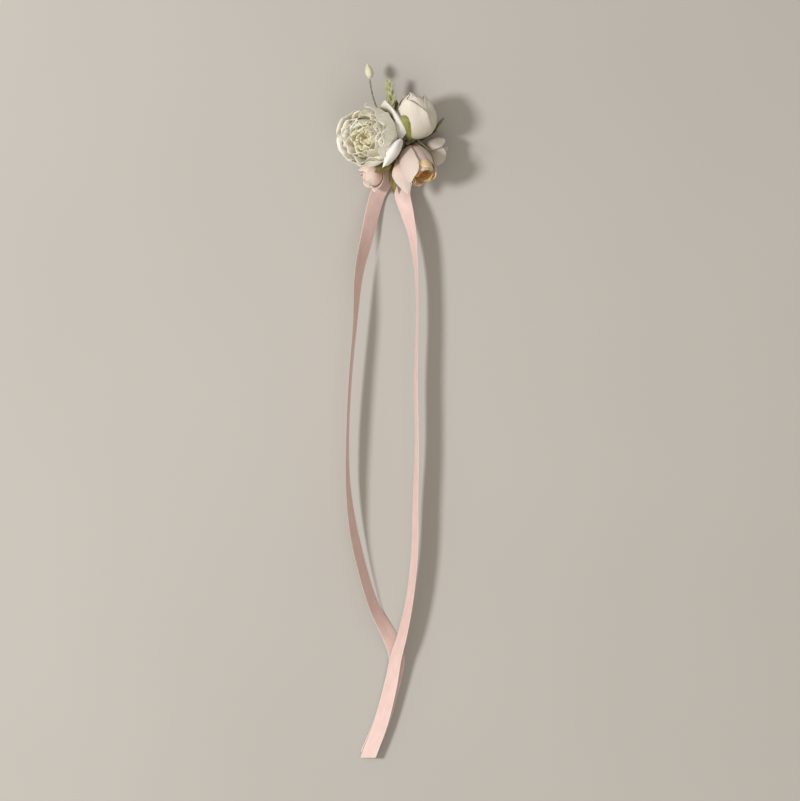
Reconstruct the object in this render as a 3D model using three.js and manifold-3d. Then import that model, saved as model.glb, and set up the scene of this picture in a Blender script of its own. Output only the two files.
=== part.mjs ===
// A floral hair pin: a spring clip under a felt pad, a cluster of fabric flowers on wire stems glued to the pad,
// and two satin ribbon tails. It lies on its back: +Z is away from the hair and -Y is where the ribbons run.
// The origin is on the underside of the clip's flat lower jaw. Millimetres and degrees.
import * as THREE from "three";
import { mergeVertices } from "three/addons/utils/BufferGeometryUtils.js";
import Module from "manifold-3d";

// ---------------------------------------------------------------- driving dimensions
const GAP = 0.35; // between pieces that touch
const DEG = Math.PI / 180;

const SHEET = 0.8; // clip metal
const CLIP_WIDTH = 8;
const JAW_TIP_Y = -18;
const LEVER_BEND_Y = 9;
const LEVER_END_Y = 23;
const LEVER_RISE_DEG = 18;
const UPPER_PLATE_Z = 5.2; // underside of the upper jaw
const HINGE = { y: 6, z: 3.4, pin: 0.7, hole: 0.82 };
const SPRING = { wire: 0.25, coil: 1.3, halfLength: 1.35, turns: 4.5, legEndY: 12.5 };

const FELT = { x: -2, y: -2.5, radius: 11.3, thickness: 1.4 };
const FELT_Z = UPPER_PLATE_Z + SHEET + GAP;
const FELT_TOP = FELT_Z + FELT.thickness;
const GLUE = { x: -1, y: -0.5, radius: 8.6, height: 3.6 };

const PETAL = 0.6; // wall of a petal layer
const STEM_RADIUS = 0.8;

const RIBBON = { width: 10, thickness: 0.5, lift: FELT_TOP + GAP };
const RIBBON_START_X = -1; // between the two ribbons, on the felt
const RIBBON_START_Y = 3;

// Flowers: the centre of each, and the axis from its calyx to its heart.
const WHITE_ROSE = { centre: [-18, 5.6, 24], axis: [-0.68, -0.05, 0.73], radius: 19.2, depth: 12.6 };
const WHITE_BUD = { centre: [10.4, 20.8, 23], axis: [-0.2, 0.88, 0.42], radius: 13.4, depth: 13 };
const BLUSH_ROSE = { centre: [9, -10.6, 23.4], axis: [0.38, -0.75, 0.55], radius: 10.4, depth: 13.2 };
const PALE_FLOWER = { centre: [21.4, -2.4, 9.2], axis: [0.94, -0.1, -0.1], radius: 8.9, depth: 7.4 };
const SMALL_FLOWER = { centre: [-17, -18.8, 12.6], axis: [-0.75, -0.6, 0.25], radius: 8.5, depth: 7.4 };

// Two petals that hang loose from the blush rose's base, each from its root along a curve.
const GUARD_PETAL = {
  points: [[-1, -2, 11.4], [-2.2, -4.4, 18], [-3, -7.4, 25], [-5.6, -10.4, 30.6], [-9.8, -15.6, 31]],
  options: { width: 5, stalk: 0.3, facing: [-0.6, 0.5, 1] },
};
const LONG_PETAL = {
  points: [[0, -4, 11], [-2, -9.6, 15], [-4, -17, 20], [2.6, -28.4, 20.6]],
  options: { width: 6, stalk: 0.2, facing: [-0.5, 0, 1] },
};

// ---------------------------------------------------------------- materials
const finish = (color, roughness, metalness = 0) =>
  new THREE.MeshStandardMaterial({ color, roughness, metalness });

const STEEL = { color: 0xc9c9c6, roughness: 0.32, metalness: 1 };
const COLOUR = {
  felt: 0xe9e4da,
  glue: 0xe8e3d3,
  whitePetal: 0xece6d2,
  budPetal: 0xe4dccb,
  blushPetal: 0xe6cabd,
  palePetal: 0xd9cdbf,
  creamHeart: 0xe2d8a8,
  ochreHeart: 0xa9713a,
  sepal: 0x6f7238,
  leaf: 0x77713a,
  stem: 0x6c6b45,
  fillerBud: 0xc8c29b,
  ribbon: 0xe0b8aa,
};

// ---------------------------------------------------------------- solids
const wasm = await Module();
wasm.setup();

const vec = (p) => new THREE.Vector3(...p);

const toSolid = (geometry) => {
  const bare = new THREE.BufferGeometry();
  bare.setAttribute("position", geometry.getAttribute("position"));
  bare.setIndex(geometry.index);
  const merged = mergeVertices(bare, 1e-4);
  const vertProperties = new Float32Array(merged.attributes.position.array);
  const triVerts = new Uint32Array(merged.index.array);
  return new wasm.Manifold(new wasm.Mesh({ numProp: 3, vertProperties, triVerts }));
};

const toGeometry = (solid) => {
  const made = solid.getMesh();
  const geometry = new THREE.BufferGeometry();
  geometry.setAttribute("position", new THREE.BufferAttribute(made.vertProperties, 3));
  geometry.setIndex(new THREE.BufferAttribute(made.triVerts, 1));
  geometry.computeVertexNormals();
  return geometry;
};

const join = (first, ...rest) => toGeometry(rest.reduce((sum, g) => sum.add(toSolid(g)), toSolid(first)));
const cut = (first, ...rest) => toGeometry(rest.reduce((sum, g) => sum.subtract(toSolid(g)), toSolid(first)));

const fromGrid = (positions, index) => {
  const geometry = new THREE.BufferGeometry();
  geometry.setAttribute("position", new THREE.Float32BufferAttribute(positions, 3));
  geometry.setIndex(index);
  geometry.computeVertexNormals();
  return geometry;
};

// A closed body from rings of points that run anticlockwise about the way they follow each other.
const loft = (rings) => {
  const count = rings[0].length;
  const index = [];
  for (let i = 0; i + 1 < rings.length; i++) {
    for (let j = 0; j < count; j++) {
      const a = i * count + j;
      const b = i * count + ((j + 1) % count);
      index.push(a, b, a + count, b, b + count, a + count);
    }
  }
  const last = (rings.length - 1) * count;
  for (let j = 1; j + 1 < count; j++) {
    index.push(0, j + 1, j, last, last + j, last + j + 1);
  }
  return fromGrid(rings.flat().flatMap((p) => p.toArray()), index);
};

// A round tube along a smooth curve.
const tube = (points, radius, sides = 6, steps = 10) => {
  const ring = new THREE.Shape();
  for (let i = 0; i < sides; i++) {
    const angle = (2 * Math.PI * i) / sides;
    ring[i ? "lineTo" : "moveTo"](radius * Math.cos(angle), radius * Math.sin(angle));
  }
  const extrudePath = new THREE.CatmullRomCurve3(points.map(vec), false, "centripetal");
  return new THREE.ExtrudeGeometry(ring, { steps, bevelEnabled: false, extrudePath });
};

// A shape drawn in the Y-Z plane, from x0 to x1.
const sideSlab = (shape, x0, x1) =>
  new THREE.ExtrudeGeometry(shape, { depth: x1 - x0, bevelEnabled: false, curveSegments: 6 })
    .rotateX(Math.PI / 2)
    .rotateZ(Math.PI / 2)
    .translate(x0, 0, 0);

const outline = (points) => new THREE.Shape(points.map(([y, z]) => new THREE.Vector2(y, z)));

// A bowl about the origin with its pole at -Z. Its outer face is an ellipsoid of that radius and depth, it flares
// towards the rim, and the rim rises and falls in lobes, of which one points to lobeAngle.
const bowl = ({ radius, depth, rim, lobes = 5, lobe = 6, lobeAngle = 0, flare = 0, columns = 24, rows = 4 }) => {
  const positions = [0, 0, -depth, 0, 0, PETAL - depth];
  const index = [];
  const at = (face, row, column) => 2 + (face * rows + row - 1) * columns + (column % columns);
  for (const wall of [0, PETAL]) {
    for (let row = 1; row <= rows; row++) {
      for (let column = 0; column < columns; column++) {
        const theta = (2 * Math.PI * column) / columns;
        const edge = (rim + lobe * Math.cos(lobes * (theta - lobeAngle))) * DEG;
        const phi = (edge * row) / rows;
        const shape = Math.hypot(Math.cos(phi) / depth, Math.sin(phi) / radius);
        const r = 1 / shape + flare * (row / rows) ** 3 - wall;
        const out = r * Math.sin(phi);
        positions.push(out * Math.cos(theta), out * Math.sin(theta), -r * Math.cos(phi));
      }
    }
  }
  for (let column = 0; column < columns; column++) {
    const next = column + 1;
    index.push(0, at(0, 1, next), at(0, 1, column), 1, at(1, 1, column), at(1, 1, next));
    for (let row = 1; row < rows; row++) {
      const [a, b, c, d] = [at(0, row, column), at(0, row, next), at(0, row + 1, column), at(0, row + 1, next)];
      const inner = rows * columns;
      index.push(a, b, c, b, d, c, b + inner, a + inner, c + inner, b + inner, c + inner, d + inner);
    }
    const [a, b, c, d] = [at(0, rows, column), at(0, rows, next), at(1, rows, column), at(1, rows, next)];
    index.push(a, b, c, b, d, c);
  }
  return fromGrid(positions, index);
};

// A flat leaf on a narrow stalk, from its root along a curve. Its face looks along `facing`, and it is folded a
// little along its middle.
const blade = (points, { width, stalk = 0.3, facing = [0, 0, 1], thickness = 0.5, steps = 9 }) => {
  const line = new THREE.CatmullRomCurve3(points.map(vec), false, "centripetal");
  const rings = [];
  for (let i = 0; i <= steps; i++) {
    const t = i / steps;
    const along = line.getTangent(t);
    const side = along.clone().cross(vec(facing)).normalize();
    const up = side.clone().cross(along);
    const leaf = Math.max(0, (t - stalk) / (1 - stalk));
    const half = 0.6 + (width / 2 - 0.6) * Math.sin(Math.PI * leaf ** 0.8) * (t > stalk ? 1 : 0);
    const corner = (s, n) =>
      line.getPoint(t).addScaledVector(side, s * half).addScaledVector(up, n * thickness + 0.12 * half * s * s);
    const outside = [corner(-1, 0.5), corner(0, 0.5), corner(1, 0.5)];
    rings.push([corner(-1, -0.5), ...outside, corner(1, -0.5), corner(0, -0.5)]);
  }
  return loft(rings);
};

// A ribbon over stations { x, y, lift, roll }: lift is the height of its lowest edge, and a roll of 0 lays it flat,
// 90 stands it on edge with its face to +X.
const ribbon = (stations, steps, slant = 0, { width, thickness } = RIBBON) => {
  const centripetal = (points) => new THREE.CatmullRomCurve3(points, false, "centripetal");
  const line = centripetal(stations.map((s) => new THREE.Vector3(s.x, s.y, 0)));
  const turn = new THREE.CatmullRomCurve3(stations.map((s) => new THREE.Vector3(s.roll * DEG, s.lift, 0)));
  const centreAt = (t) => {
    const { x: roll, y: lift } = turn.getPoint(t);
    const centre = line.getPoint(t);
    centre.z = lift + (width / 2) * Math.abs(Math.sin(roll)) + (thickness / 2) * Math.abs(Math.cos(roll));
    return { centre, roll };
  };
  const rings = [];
  for (let i = 0; i <= steps; i++) {
    const t = i / steps;
    const { centre, roll } = centreAt(t);
    const after = centreAt(Math.min(1, t + 0.002)).centre;
    const before = centreAt(Math.max(0, t - 0.002)).centre;
    const along = after.sub(before).normalize();
    const level = along.clone().cross(new THREE.Vector3(0, 0, 1)).normalize();
    const rise = level.clone().cross(along);
    const side = level.multiplyScalar(Math.cos(roll)).addScaledVector(rise, Math.sin(roll));
    const normal = side.clone().cross(along);
    const reach = i === steps ? slant : 0;
    const corner = (w, n) =>
      centre
        .clone()
        .addScaledVector(side, (w * width) / 2)
        .addScaledVector(normal, (n * thickness) / 2)
        .addScaledVector(along, w * reach);
    rings.push([corner(-1, -1), corner(-1, 1), corner(1, 1), corner(1, -1)]);
  }
  return loft(rings);
};

// ---------------------------------------------------------------- the object
const hairPin = new THREE.Group();

const add = (parent, name, geometry, material) => {
  const mesh = new THREE.Mesh(geometry, material);
  mesh.name = name;
  parent.add(mesh);
  return mesh;
};

// ---------------------------------------------------------------- clip
const steel = () => finish(STEEL.color, STEEL.roughness, STEEL.metalness);

// An ear that drops or rises to the hinge from the edge of a jaw.
const ear = (side, x0, x1, rootZ, halfRoot, tipRadius) => {
  const shape = new THREE.Shape();
  const turn = rootZ > HINGE.z ? 1 : -1;
  shape.moveTo(HINGE.y - halfRoot, rootZ);
  shape.lineTo(HINGE.y - tipRadius, HINGE.z);
  shape.absarc(HINGE.y, HINGE.z, tipRadius, Math.PI, Math.PI + turn * Math.PI, turn < 0);
  shape.lineTo(HINGE.y + halfRoot, rootZ);
  const hole = new THREE.Path();
  hole.absarc(HINGE.y, HINGE.z, HINGE.hole, 0, 2 * Math.PI, false);
  shape.holes.push(hole);
  return sideSlab(shape, Math.min(side * x0, side * x1), Math.max(side * x0, side * x1));
};

const addUpperJaw = () => {
  const [low, high] = [UPPER_PLATE_Z, UPPER_PLATE_Z + SHEET];
  const leverRise = (LEVER_END_Y - LEVER_BEND_Y) * Math.tan(LEVER_RISE_DEG * DEG);
  const beakZ = SHEET + GAP;
  const side = outline([
    [JAW_TIP_Y, beakZ],
    [JAW_TIP_Y + 0.9, beakZ],
    [JAW_TIP_Y + 4, low],
    [LEVER_BEND_Y, low],
    [LEVER_END_Y, low + leverRise],
    [LEVER_END_Y - 0.2, high + leverRise],
    [LEVER_BEND_Y - 0.1, high],
    [JAW_TIP_Y + 3.4, high],
  ]);
  const half = CLIP_WIDTH / 2;
  const plate = sideSlab(side, -half, half);
  const ears = [-1, 1].map((s) => ear(s, half - SHEET, half, low + SHEET / 2, 2.6, 1.8));
  add(hairPin, "upper_jaw", join(plate, ...ears), steel());
};

const addLowerJaw = () => {
  const half = CLIP_WIDTH / 2;
  const plate = sideSlab(
    outline([
      [JAW_TIP_Y, 0],
      [LEVER_END_Y, 0],
      [LEVER_END_Y, SHEET],
      [JAW_TIP_Y, SHEET],
    ]),
    -half,
    half,
  );
  const earOuter = half - SHEET - GAP;
  const ears = [-1, 1].map((s) => ear(s, earOuter - SHEET, earOuter, SHEET / 2, 2.2, 1.5));
  add(hairPin, "lower_jaw", join(plate, ...ears), steel());
};

const addHingePin = () => {
  const inside = CLIP_WIDTH / 2 + GAP;
  const head = 0.5;
  const profile = [
    [0, -inside - head],
    [1.3, -inside - head],
    [1.3, -inside],
    [HINGE.pin, -inside],
    [HINGE.pin, inside],
    [1.3, inside],
    [1.3, inside + head],
    [0, inside + head],
  ];
  const outlinePoints = profile.map(([r, x]) => new THREE.Vector2(r, x));
  const pin = new THREE.LatheGeometry(outlinePoints, 16).rotateZ(-Math.PI / 2);
  add(hairPin, "hinge_pin", pin, steel()).position.set(0, HINGE.y, HINGE.z);
};

// A coil round the pin, with one leg under the upper lever and one on the lower lever.
const addSpring = () => {
  const { wire, coil, halfLength, turns, legEndY } = SPRING;
  const samples = Math.round(turns * 10);
  const points = [[-halfLength, legEndY, HINGE.z + coil]];
  for (let i = 0; i <= samples; i++) {
    const angle = Math.PI / 2 + (2 * Math.PI * turns * i) / samples;
    const x = halfLength * ((2 * i) / samples - 1);
    points.push([x, HINGE.y + coil * Math.cos(angle), HINGE.z + coil * Math.sin(angle)]);
  }
  points.push([halfLength, legEndY, SHEET + GAP + wire]);
  add(hairPin, "torsion_spring", tube(points, wire, 5, samples + 12), steel());
};

// ---------------------------------------------------------------- pad, stems and glue
const glueStems = []; // routes of everything that is bedded in the glue

// A wire stem from a route of points; the last point is in the glue.
const addStem = (name, points, radius = STEM_RADIUS) => {
  glueStems.push({ points, radius });
  add(hairPin, name, tube(points, radius, 6, 8), finish(COLOUR.stem, 0.7));
};

const addFelt = () => {
  const disc = new THREE.CylinderGeometry(FELT.radius, FELT.radius, FELT.thickness, 32).rotateX(Math.PI / 2);
  const felt = add(hairPin, "felt_pad", disc, finish(COLOUR.felt, 0.95));
  felt.position.set(FELT.x, FELT.y, FELT_Z + FELT.thickness / 2);
};

const addGlue = () => {
  const dome = new THREE.Path();
  dome.moveTo(0, 0);
  dome.lineTo(GLUE.radius, 0);
  dome.bezierCurveTo(GLUE.radius, GLUE.height * 0.6, GLUE.radius * 0.7, GLUE.height, 0, GLUE.height);
  const heap = new THREE.LatheGeometry(dome.getPoints(4).filter((p, i) => i === 0 || p.y > 0 || p.x > 0), 20);
  heap.rotateX(Math.PI / 2).translate(GLUE.x, GLUE.y, FELT_TOP + GAP);
  const stems = glueStems.map(({ points, radius }) => tube(points, radius + GAP, 6, 8));
  const channel = new THREE.BoxGeometry(2 * RIBBON.width + 4 * GAP, 40, 2 * (RIBBON.thickness + GAP));
  channel.translate(RIBBON_START_X, RIBBON_START_Y + GAP - 20, RIBBON.lift);
  add(hairPin, "glue_bed", cut(heap, channel, ...stems), finish(COLOUR.glue, 0.35));
};

// ---------------------------------------------------------------- flowers
// A flower is a group at its centre whose +Z is its axis. Each layer gives its scale from the outermost one.
const addFlower = (name, { centre, axis, radius, depth }, look) => {
  const { layers, heart, petalColor, heartColor, calyx } = look;
  const flower = new THREE.Group();
  flower.position.set(...centre);
  flower.quaternion.setFromUnitVectors(new THREE.Vector3(0, 0, 1), vec(axis).normalize());
  hairPin.add(flower);
  const angleTo = (direction) => {
    const local = vec(direction).applyQuaternion(flower.quaternion.clone().invert());
    return Math.atan2(local.y, local.x);
  };
  for (const { part, inset = 0, toward = [1, 0, 0], ...shape } of layers) {
    const layer = { radius: radius - inset, depth: depth - inset * 0.55, lobeAngle: angleTo(toward), ...shape };
    add(flower, `${name}_${part}`, bowl(layer), finish(petalColor, 0.85));
  }
  const core = new THREE.SphereGeometry(1, 12, 8).rotateX(Math.PI / 2).scale(...heart.size);
  add(flower, `${name}_heart`, core, finish(heartColor, 0.85)).position.z = heart.z;
  const calyxDepth = depth + GAP + PETAL;
  const cup = { radius: radius + GAP + PETAL, depth: calyxDepth, columns: 30, rows: 3, ...calyx };
  cup.lobeAngle = angleTo(calyx.toward ?? [0, 0, 1]);
  add(flower, `${name}_calyx`, bowl(cup), finish(COLOUR.sepal, 0.7));
  const along = vec(axis).normalize();
  const behind = (distance) => vec(centre).addScaledVector(along, -calyxDepth - distance).toArray();
  return behind;
};

const addWhiteRose = () => {
  const behind = addFlower("white_rose", WHITE_ROSE, {
    petalColor: COLOUR.whitePetal,
    heartColor: COLOUR.creamHeart,
    heart: { size: [4.4, 4.4, 5.2], z: 1 },
    layers: [
      {
        part: "curled_petal", radius: 22, depth: 14, rim: 46, lobe: 46, lobes: 1, rows: 5,
        toward: [0.6, 0.6, 0.6],
      },
      { part: "guard_petals", rim: 102, lobe: 7, columns: 30 },
      { part: "outer_petals", inset: 2.6, rim: 118, lobe: 8, lobes: 6, rows: 5 },
      { part: "middle_petals", inset: 6.6, rim: 128, lobe: 8, lobes: 6 },
      { part: "inner_petals", inset: 11, rim: 132, lobe: 9, columns: 20 },
    ],
    calyx: { radius: 23.4, depth: 15, rim: 22, lobe: 9, columns: 20 },
  });
  addStem("white_rose_stem", [behind(1.8), behind(2.8), [-5.6, 4.2, 10.6], [-4, 2, 9.8]]);
};

const addWhiteBud = () => {
  const behind = addFlower("white_bud", WHITE_BUD, {
    petalColor: COLOUR.budPetal,
    heartColor: COLOUR.budPetal,
    heart: { size: [9.6, 9.6, 10], z: 0 },
    layers: [
      { part: "outer_petals", rim: 118, lobe: 12, lobes: 4, rows: 5 },
      { part: "inner_petals", inset: 1.7, depth: 11.4, rim: 138, lobe: 10, lobes: 3 },
    ],
    calyx: { radius: 14.6, depth: 14.1, rim: 50, lobe: 22, rows: 4, toward: [-1, 0.2, 0.6] },
  });
  addStem("white_bud_stem", [behind(0.8), behind(2), [8.6, 5.6, 13.6], [3, 3, 9.9]]);
};

const addBlushRose = () => {
  const behind = addFlower("blush_rose", BLUSH_ROSE, {
    petalColor: COLOUR.blushPetal,
    heartColor: COLOUR.ochreHeart,
    heart: { size: [4.2, 4.2, 6.5], z: 1 },
    layers: [
      { part: "outer_petals", rim: 116, lobe: 9 },
      { part: "middle_petals", inset: 2, rim: 126, lobe: 8, lobes: 4 },
      { part: "inner_petals", inset: 4.2, rim: 132, lobe: 9, lobes: 3, columns: 18 },
    ],
    calyx: { rim: 24, lobe: 8, columns: 20 },
  });
  addStem("blush_rose_stem", [behind(GAP), behind(1.2), [1.6, 2.2, 11.6], [0.4, 0, 9.7]]);
  addPetalBlade("blush_rose_guard_petal", COLOUR.whitePetal, GUARD_PETAL);
  addPetalBlade("blush_rose_long_petal", COLOUR.blushPetal, LONG_PETAL);
};

const addPetalBlade = (name, color, { points, options }) => {
  glueStems.push({ points: points.slice(0, 2), radius: 1 });
  add(hairPin, name, blade(points, options), finish(color, 0.85));
};

const addPaleFlower = () => {
  const behind = addFlower("pale_flower", PALE_FLOWER, {
    petalColor: COLOUR.palePetal,
    heartColor: COLOUR.creamHeart,
    heart: { size: [3, 3, 3.4], z: 0.4 },
    layers: [
      { part: "outer_petals", rim: 98, lobe: 8 },
      { part: "inner_petals", inset: 3.4, rim: 108, lobe: 9, columns: 20, rows: 3 },
    ],
    calyx: { rim: 26, lobe: 9, columns: 20 },
  });
  addStem("pale_flower_stem", [behind(GAP), behind(1.6), [8.6, -2.2, 10.2], [5, -2, 9.9]]);
};

const addSmallFlower = () => {
  const behind = addFlower("small_flower", SMALL_FLOWER, {
    petalColor: COLOUR.blushPetal,
    heartColor: COLOUR.creamHeart,
    heart: { size: [2.6, 2.6, 3.2], z: 0.4 },
    layers: [
      { part: "outer_petals", rim: 98, lobe: 8 },
      { part: "inner_petals", inset: 3.1, rim: 108, lobe: 9, columns: 20, rows: 3 },
    ],
    calyx: { rim: 26, lobe: 9, columns: 20 },
  });
  addStem("small_flower_stem", [behind(GAP), behind(1.6), [-7.4, -6.4, 11], [-4, -3, 9.8]]);
};

// ---------------------------------------------------------------- greenery
const addLeaf = (name, points, options) => {
  glueStems.push({ points: points.slice(0, 2), radius: 1 });
  add(hairPin, name, blade(points, options), finish(COLOUR.leaf, 0.75));
};

const addLeaves = () => {
  addLeaf(
    "left_leaf",
    [[-6.4, -2.4, 10], [-7.6, -8.4, 15.4], [-10, -13.8, 20.4], [-15.8, -16.8, 22.4]],
    { width: 6 },
  );
  addLeaf(
    "centre_leaf",
    [[-3.4, -5.6, 10], [-4.8, -8, 12.4], [-5.4, -12, 14], [-4.4, -17, 14.6]],
    { width: 5.5 },
  );
  addLeaf(
    "back_leaf",
    [[-0.4, 5, 9.2], [-1, 10, 9.9], [-1.2, 20, 11.4], [-2.4, 29, 11.6]],
    { width: 5.5 },
  );
  addLeaf(
    "tail_leaf",
    [[-0.5, -5.6, 10], [-2.8, -12, 11.4], [-4, -20, 12.6], [-3.8, -29.4, 12]],
    { width: 6 },
  );
  addLeaf(
    "right_leaf",
    [[6.4, 1, 9.9], [10.4, 3.4, 10.8], [15.5, 7.8, 12.6], [23.4, 9.4, 13]],
    { width: 5 },
  );
};

const addFiller = () => {
  const top = [-18.6, 43, 14.6];
  const route = [top, [-17.4, 34, 13.8], [-15, 25.4, 12.4], [-9.6, 15, 10.6], [-4.6, 6.2, 10]];
  addStem("filler_stem", route, 0.55);
  const half = { width: 2.6, length: 4.6 };
  const bud = new THREE.SphereGeometry(1, 10, 8).rotateX(Math.PI / 2);
  bud.scale(half.width, half.length, half.width);
  const filler = add(hairPin, "filler_bud", bud, finish(COLOUR.fillerBud, 0.7));
  filler.position.set(top[0] - 0.2, top[1] + half.length + GAP, top[2] + 0.2);
};

// A stem with pairs of small leaflets that lean towards its tip.
const addSprig = () => {
  const route = [[-6.2, 41, 15.4], [-5.6, 33, 15], [-5, 24, 13.6], [-3.4, 12, 12], [-2.4, 5.4, 10]];
  glueStems.push({ points: route, radius: 0.5 });
  const leaflets = [];
  for (let pair = 0; pair < 4; pair++) {
    const y = 25 + pair * 4.2;
    for (const side of [-1, 1]) {
      const [x, z] = [-4.9 - pair * 0.15, 14.2 + pair * 0.3];
      const reach = 4.6 - pair * 0.5;
      const middle = [x + side * reach * 0.5, y + 1.6, z + 0.7];
      const points = [[x, y, z], middle, [x + side * reach, y + 4.6, z + 0.6]];
      leaflets.push(blade(points, { width: 2.4, stalk: 0, steps: 3 }));
    }
  }
  add(hairPin, "green_sprig", join(tube(route, 0.5, 6, 10), ...leaflets), finish(COLOUR.leaf, 0.75));
};

// ---------------------------------------------------------------- ribbons
const addRibbons = () => {
  const { lift, width } = RIBBON;
  const start = (side, y) => ({ x: RIBBON_START_X + (side * (width + GAP)) / 2, y, lift, roll: 0 });
  const left = [
    start(-1, RIBBON_START_Y),
    start(-1, -8),
    { x: -6.8, y: -13, lift: lift - 0.1, roll: 0 },
    { x: -10, y: -21.5, lift: 3, roll: 4 },
    { x: -14.8, y: -32, lift: 1.6, roll: 20 },
    { x: -20.6, y: -56, lift: 4.6, roll: 38 },
    { x: -25.6, y: -80, lift: 7.4, roll: 58 },
    { x: -27.9, y: -110, lift: 7.6, roll: 75 },
    { x: -30.9, y: -145, lift: 7.4, roll: 79 },
    { x: -32.5, y: -178, lift: 6.6, roll: 80 },
    { x: -32.1, y: -212, lift: 5.4, roll: 73 },
    { x: -27.4, y: -246, lift: 3.6, roll: 57 },
    { x: -17, y: -284, lift: 1.2, roll: 50 },
    { x: -6.4, y: -305, lift: 0, roll: 24 },
    { x: -2, y: -319, lift: 0, roll: 6 },
    { x: -5.2, y: -336, lift: 0, roll: 3 },
    { x: -11.4, y: -358, lift: 0, roll: 3 },
    { x: -19.6, y: -377.6, lift: 0, roll: 3 },
  ];
  const right = [
    start(1, RIBBON_START_Y),
    start(1, -8),
    { x: 4.5, y: -14.5, lift, roll: 0 },
    { x: 2.6, y: -22, lift: 7.8, roll: -5 },
    { x: 1.6, y: -30, lift: 7.4, roll: -12 },
    { x: 4.4, y: -41, lift: 7, roll: -36 },
    { x: 7.7, y: -55.6, lift: 7, roll: -60 },
    { x: 10.2, y: -80, lift: 7.2, roll: -79 },
    { x: 10.6, y: -110, lift: 7.6, roll: -82 },
    { x: 9.8, y: -145, lift: 7.6, roll: -78 },
    { x: 10.4, y: -185, lift: 7, roll: -76 },
    { x: 9.6, y: -220, lift: 6.2, roll: -70 },
    { x: 9, y: -252, lift: 5.4, roll: -66 },
    { x: 6.2, y: -280, lift: 4.4, roll: -62 },
    { x: 1.6, y: -303, lift: 3.6, roll: -54 },
    { x: -2.6, y: -318, lift: 2.6, roll: -44 },
    { x: -6, y: -336, lift: 1.6, roll: -36 },
    { x: -11.6, y: -358, lift: 1.2, roll: -30 },
    { x: -20, y: -380.6, lift: 1.2, roll: -26 },
  ];
  const satin = () => finish(COLOUR.ribbon, 0.4);
  add(hairPin, "left_ribbon", ribbon(left, 84, 1.5), satin());
  add(hairPin, "right_ribbon", ribbon(right, 84, 2), satin());
};

addUpperJaw();
addLowerJaw();
addHingePin();
addSpring();
addFelt();
addWhiteRose();
addWhiteBud();
addBlushRose();
addPaleFlower();
addSmallFlower();
addLeaves();
addFiller();
addSprig();
addRibbons();
addGlue();

export default hairPin;
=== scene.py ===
"""The looks of a floral hair pin: fabric flowers, leaves and satin ribbons around a packed clip.

The row frame is in metres: +Z up, the pin lies on its back, the ribbons run towards -Y.
Most shapes are drawn in millimetres and scaled by MM.
"""

import math

import bpy
import numpy as np
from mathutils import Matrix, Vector


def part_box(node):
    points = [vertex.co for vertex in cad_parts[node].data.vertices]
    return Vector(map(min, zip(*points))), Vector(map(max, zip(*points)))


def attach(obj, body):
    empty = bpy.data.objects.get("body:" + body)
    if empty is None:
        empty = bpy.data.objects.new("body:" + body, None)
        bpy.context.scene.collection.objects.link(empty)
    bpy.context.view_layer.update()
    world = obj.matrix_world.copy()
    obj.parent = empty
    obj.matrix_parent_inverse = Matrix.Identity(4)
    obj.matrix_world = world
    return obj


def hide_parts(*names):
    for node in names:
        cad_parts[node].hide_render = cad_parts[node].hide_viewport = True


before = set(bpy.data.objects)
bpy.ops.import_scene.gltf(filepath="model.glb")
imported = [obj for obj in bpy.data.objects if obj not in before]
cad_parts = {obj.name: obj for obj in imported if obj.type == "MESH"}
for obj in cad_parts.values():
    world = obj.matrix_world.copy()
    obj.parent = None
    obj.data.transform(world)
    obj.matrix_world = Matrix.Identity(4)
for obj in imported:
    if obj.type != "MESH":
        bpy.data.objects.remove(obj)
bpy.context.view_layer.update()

MM = 0.001
HEAD = "flower_head"
PETAL_THICKNESS = 0.28 * MM
LEAF_THICKNESS = 0.25 * MM
LEAFLET_THICKNESS = 0.12 * MM
SATIN_THICKNESS = 0.16 * MM
GOLDEN_ANGLE = 2.4
SMOOTHING = 1  # subdivisions of each cloth

# Flowers in millimetres: the centre of each, and the axis from its calyx to its heart.
WHITE_ROSE = {"centre": (-18, 4.4, 23.4), "axis": (-0.66, -0.05, 0.75)}
WHITE_BUD = {"centre": (9.4, 18.4, 23), "axis": (-0.2, 0.88, 0.42)}
BLUSH_ROSE = {"centre": (10.6, -11.2, 23.4), "axis": (0.36, -0.68, 0.64)}
PALE_FLOWER = {"centre": (20.6, -2.8, 10.6), "axis": (0.94, -0.1, -0.12)}
SMALL_FLOWER = {"centre": (-16.6, -17.6, 12.8), "axis": (-0.75, -0.6, 0.2)}

# ---------------------------------------------------------------- camera
VIEW_ACROSS = 0.5  # metres of surface across the picture
CAMERA_HEIGHT = 2.2
CAMERA_Y = -0.1578
SENSOR = 36.0


def make_camera():
    data = bpy.data.cameras.new("camera")
    data.sensor_width = SENSOR
    data.lens = SENSOR * CAMERA_HEIGHT / VIEW_ACROSS
    camera = bpy.data.objects.new("camera", data)
    camera.location = (0, CAMERA_Y, CAMERA_HEIGHT)
    bpy.context.scene.collection.objects.link(camera)
    bpy.context.scene.camera = camera


# ---------------------------------------------------------------- colours
def srgb(r, g, b):
    """A linear colour from 0-255 values as seen on a screen."""
    return tuple(((c / 255 + 0.055) / 1.055) ** 2.4 if c > 10 else c / 3294 for c in (r, g, b)) + (1.0,)


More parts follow.
